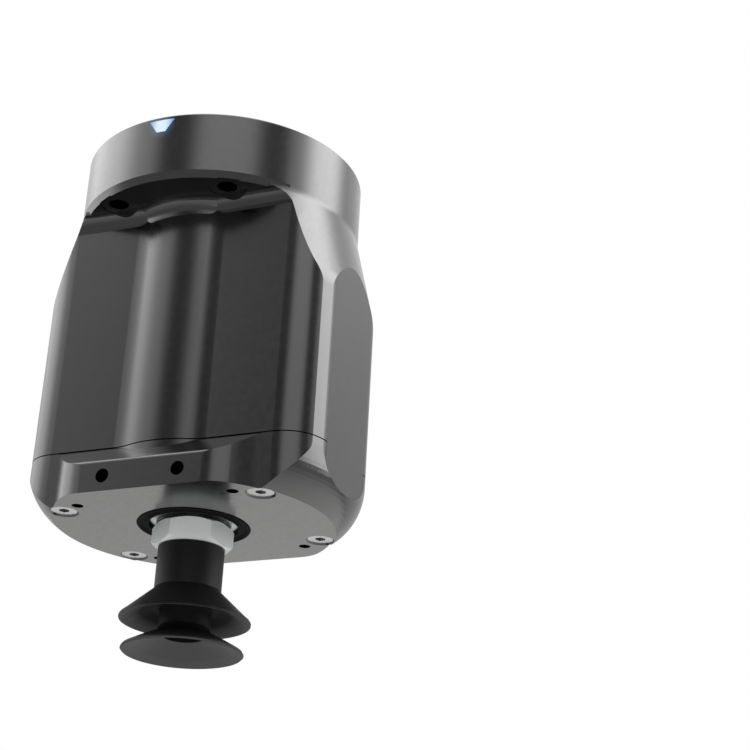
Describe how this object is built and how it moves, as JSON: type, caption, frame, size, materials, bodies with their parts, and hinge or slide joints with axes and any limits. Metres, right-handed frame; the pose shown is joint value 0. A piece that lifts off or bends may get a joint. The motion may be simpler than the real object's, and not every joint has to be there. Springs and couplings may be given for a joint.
{
  "type": "electric vacuum gripper",
  "caption": "Electric vacuum end effector for a robot wrist: turned head, milled body with built-in diaphragm pump, end cap and a bellows suction cup.",
  "frame": {"origin": "centre of the robot-side face at the top of the head", "axes": "+Z out of the robot-side face along the device's axis, -Y towards the front with the status light, +X to the side flat on the right when seen from the front"},
  "size_m": [0.082, 0.075, 0.1328],
  "materials": {
    "anodised_dark": "bead-blasted and dark grey anodised",
    "rubber_black": "moulded black rubber",
    "plated_bright": "satin nickel plate",
    "screw_steel": "turned stainless steel",
    "light_plastic": "clear light-guide plastic",
    "white_plastic": "moulded off-white plastic",
    "black_plastic": "moulded black plastic",
    "board_green": "solder-masked circuit board",
    "contact_gold": "gold-plated brass",
    "cable_black": "cable jacket",
    "motor_steel": "zinc-plated steel",
    "core_steel": "laminated steel",
    "copper_wire": "enamelled copper wire",
    "magnet_grey": "bonded magnet",
    "filter_felt": "sintered filter felt",
    "valve_rubber": "red silicone rubber",
    "sintered_bronze": "sintered bronze"
  },
  "bodies": {
    "housing": {"main_housing": "anodised_dark", "end_cap": "anodised_dark", "cap_gasket": "rubber_black", "cap_screws": "screw_steel", "face_seal": "rubber_black", "port_insert": "plated_bright", "port_fitting": "plated_bright", "inlet_filter": "filter_felt", "cup_neck": "rubber_black", "cup_bellows": "rubber_black", "light_guide": "light_plastic", "status_led": "white_plastic", "contact_board": "board_green", "contact_pads": "contact_gold", "signal_harness": "cable_black", "motor_can": "motor_steel", "motor_bell": "motor_steel", "motor_stator": "core_steel", "motor_coils": "copper_wire", "motor_bearings": "screw_steel", "crank_case": "black_plastic", "diaphragms": "rubber_black", "valve_plate": "white_plastic", "valve_flaps": "valve_rubber", "pump_head": "black_plastic", "pump_screws": "screw_steel", "damping_rings": "rubber_black", "inlet_seal": "rubber_black", "valve_body": "white_plastic", "valve_coil": "copper_wire", "valve_core": "motor_steel", "valve_spring": "screw_steel", "control_board": "board_green", "board_parts": "black_plastic", "pressure_sensor": "black_plastic", "exhaust_plugs": "sintered_bronze"},
    "rotor": {"rotor_magnet": "magnet_grey", "motor_shaft": "screw_steel", "crank": "motor_steel", "crank_pin": "screw_steel"},
    "wobbler": {"wobble_plate": "white_plastic", "pushers": "rubber_black"},
    "plunger": {"valve_plunger": "screw_steel"},
    "lip": {"cup_lip": "rubber_black"}
  },
  "joints": [
    {"name": "motor_spin", "type": "hinge", "parent": "housing", "child": "rotor", "pos_m": [0, 0, -0.0382], "axis": [0, 0, 1], "continuous": true},
    {"name": "wobble_pivot", "type": "hinge", "parent": "rotor", "child": "wobbler", "pos_m": [0, 0, -0.0634], "axis": [0.1219, 0, 0.9925], "continuous": true},
    {"name": "plunger_lift", "type": "slide", "parent": "housing", "child": "plunger", "axis": [0, 0, 1], "range_m": [0, 0.0015], "stiffness_N_per_m": 400, "springref_m": -0.002, "deforming": ["valve_spring"]},
    {"name": "cup_squeeze", "type": "slide", "parent": "housing", "child": "lip", "axis": [0, 0, 1], "range_m": [0, 0.005], "stiffness_N_per_m": 600, "deforming": ["cup_bellows"]}
  ],
  "couplings": [
    {"joint": "wobble_pivot", "follows": "motor_spin", "ratio": -1}
  ]
}
